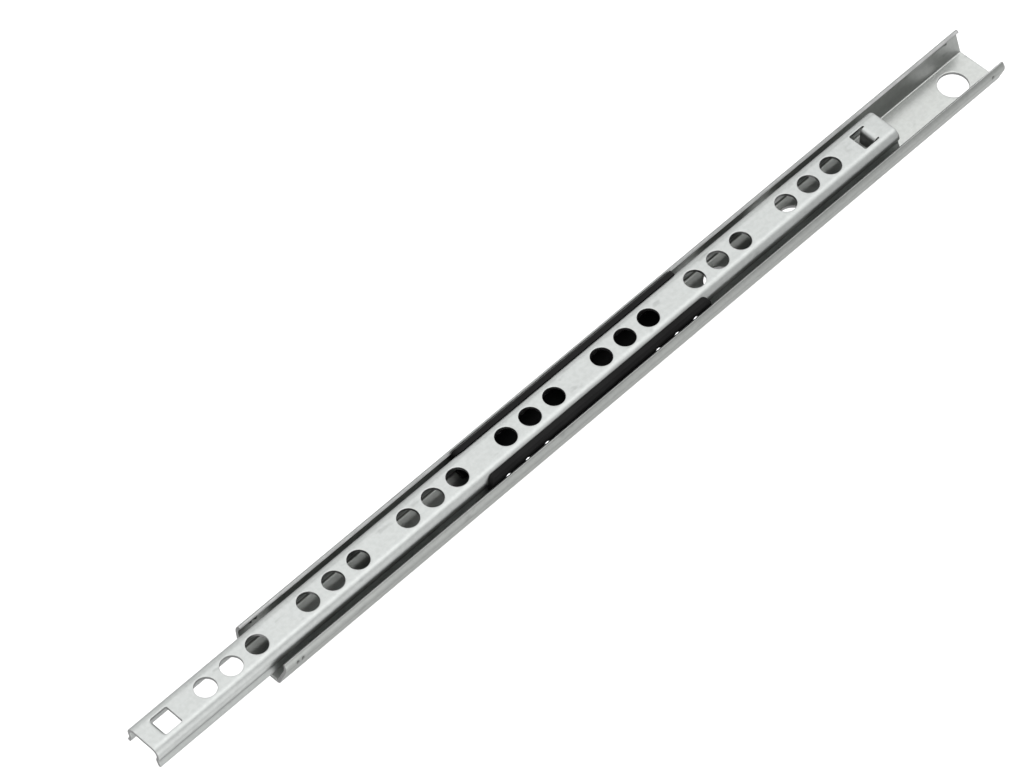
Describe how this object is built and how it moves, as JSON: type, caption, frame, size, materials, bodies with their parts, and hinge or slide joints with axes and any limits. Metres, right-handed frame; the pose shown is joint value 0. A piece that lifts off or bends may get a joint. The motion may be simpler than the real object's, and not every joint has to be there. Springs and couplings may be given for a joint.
{
  "type": "drawer slide",
  "caption": "Low-profile ball-bearing drawer slide: a punched inner rail runs in a curled outer rail on steel balls held by a plastic cage.",
  "frame": {"origin": "centre of the outer rail's back face, where it lies on the cabinet's side wall", "axes": "+X the way the drawer opens, along the rails; +Y across the slide; +Z out of the cabinet wall towards the drawer"},
  "size_m": [0.282, 0.0168, 0.0098],
  "materials": {
    "outer_steel": "bright zinc plated, rolled sheet",
    "inner_steel": "bright zinc plated, rolled sheet",
    "cage_plastic": "moulded, satin black",
    "ball_steel": "polished bearing steel"
  },
  "bodies": {
    "outer_rail": {"outer_rail": "outer_steel"},
    "inner_rail": {"inner_rail": "inner_steel"},
    "ball_cage": {"ball_cage": "cage_plastic"},
    "ball_left_1": {"ball_left_1": "ball_steel"},
    "ball_left_2": {"ball_left_2": "ball_steel"},
    "ball_left_3": {"ball_left_3": "ball_steel"},
    "ball_left_4": {"ball_left_4": "ball_steel"},
    "ball_left_5": {"ball_left_5": "ball_steel"},
    "ball_left_6": {"ball_left_6": "ball_steel"},
    "ball_right_1": {"ball_right_1": "ball_steel"},
    "ball_right_2": {"ball_right_2": "ball_steel"},
    "ball_right_3": {"ball_right_3": "ball_steel"},
    "ball_right_4": {"ball_right_4": "ball_steel"},
    "ball_right_5": {"ball_right_5": "ball_steel"},
    "ball_right_6": {"ball_right_6": "ball_steel"}
  },
  "joints": [
    {"name": "drawer_travel", "type": "slide", "parent": "outer_rail", "child": "inner_rail", "axis": [1, 0, 0], "range_m": [-0.0354, 0.1316]},
    {"name": "cage_travel", "type": "slide", "parent": "outer_rail", "child": "ball_cage", "axis": [1, 0, 0], "range_m": [-0.0177, 0.0658]},
    {"name": "ball_left_1_roll", "type": "hinge", "parent": "ball_cage", "child": "ball_left_1", "pos_m": [0.0493, 0.0062, 0.00605], "axis": [0, 0, 1], "continuous": true},
    {"name": "ball_left_2_roll", "type": "hinge", "parent": "ball_cage", "child": "ball_left_2", "pos_m": [0.0429, 0.0062, 0.00605], "axis": [0, 0, 1], "continuous": true},
    {"name": "ball_left_3_roll", "type": "hinge", "parent": "ball_cage", "child": "ball_left_3", "pos_m": [0.0365, 0.0062, 0.00605], "axis": [0, 0, 1], "continuous": true},
    {"name": "ball_left_4_roll", "type": "hinge", "parent": "ball_cage", "child": "ball_left_4", "pos_m": [-0.0011, 0.0062, 0.00605], "axis": [0, 0, 1], "continuous": true},
    {"name": "ball_left_5_roll", "type": "hinge", "parent": "ball_cage", "child": "ball_left_5", "pos_m": [-0.0075, 0.0062, 0.00605], "axis": [0, 0, 1], "continuous": true},
    {"name": "ball_left_6_roll", "type": "hinge", "parent": "ball_cage", "child": "ball_left_6", "pos_m": [-0.0139, 0.0062, 0.00605], "axis": [0, 0, 1], "continuous": true},
    {"name": "ball_right_1_roll", "type": "hinge", "parent": "ball_cage", "child": "ball_right_1", "pos_m": [0.0493, -0.0062, 0.00605], "axis": [0, 0, 1], "continuous": true},
    {"name": "ball_right_2_roll", "type": "hinge", "parent": "ball_cage", "child": "ball_right_2", "pos_m": [0.0429, -0.0062, 0.00605], "axis": [0, 0, 1], "continuous": true},
    {"name": "ball_right_3_roll", "type": "hinge", "parent": "ball_cage", "child": "ball_right_3", "pos_m": [0.0365, -0.0062, 0.00605], "axis": [0, 0, 1], "continuous": true},
    {"name": "ball_right_4_roll", "type": "hinge", "parent": "ball_cage", "child": "ball_right_4", "pos_m": [-0.0011, -0.0062, 0.00605], "axis": [0, 0, 1], "continuous": true},
    {"name": "ball_right_5_roll", "type": "hinge", "parent": "ball_cage", "child": "ball_right_5", "pos_m": [-0.0075, -0.0062, 0.00605], "axis": [0, 0, 1], "continuous": true},
    {"name": "ball_right_6_roll", "type": "hinge", "parent": "ball_cage", "child": "ball_right_6", "pos_m": [-0.0139, -0.0062, 0.00605], "axis": [0, 0, 1], "continuous": true}
  ],
  "couplings": [
    {"joint": "cage_travel", "follows": "drawer_travel", "ratio": 0.5},
    {"joint": "ball_left_1_roll", "follows": "drawer_travel", "rad_per_m": 416.67},
    {"joint": "ball_left_2_roll", "follows": "drawer_travel", "rad_per_m": 416.67},
    {"joint": "ball_left_3_roll", "follows": "drawer_travel", "rad_per_m": 416.67},
    {"joint": "ball_left_4_roll", "follows": "drawer_travel", "rad_per_m": 416.67},
    {"joint": "ball_left_5_roll", "follows": "drawer_travel", "rad_per_m": 416.67},
    {"joint": "ball_left_6_roll", "follows": "drawer_travel", "rad_per_m": 416.67},
    {"joint": "ball_right_1_roll", "follows": "drawer_travel", "rad_per_m": -416.67},
    {"joint": "ball_right_2_roll", "follows": "drawer_travel", "rad_per_m": -416.67},
    {"joint": "ball_right_3_roll", "follows": "drawer_travel", "rad_per_m": -416.67},
    {"joint": "ball_right_4_roll", "follows": "drawer_travel", "rad_per_m": -416.67},
    {"joint": "ball_right_5_roll", "follows": "drawer_travel", "rad_per_m": -416.67},
    {"joint": "ball_right_6_roll", "follows": "drawer_travel", "rad_per_m": -416.67}
  ]
}
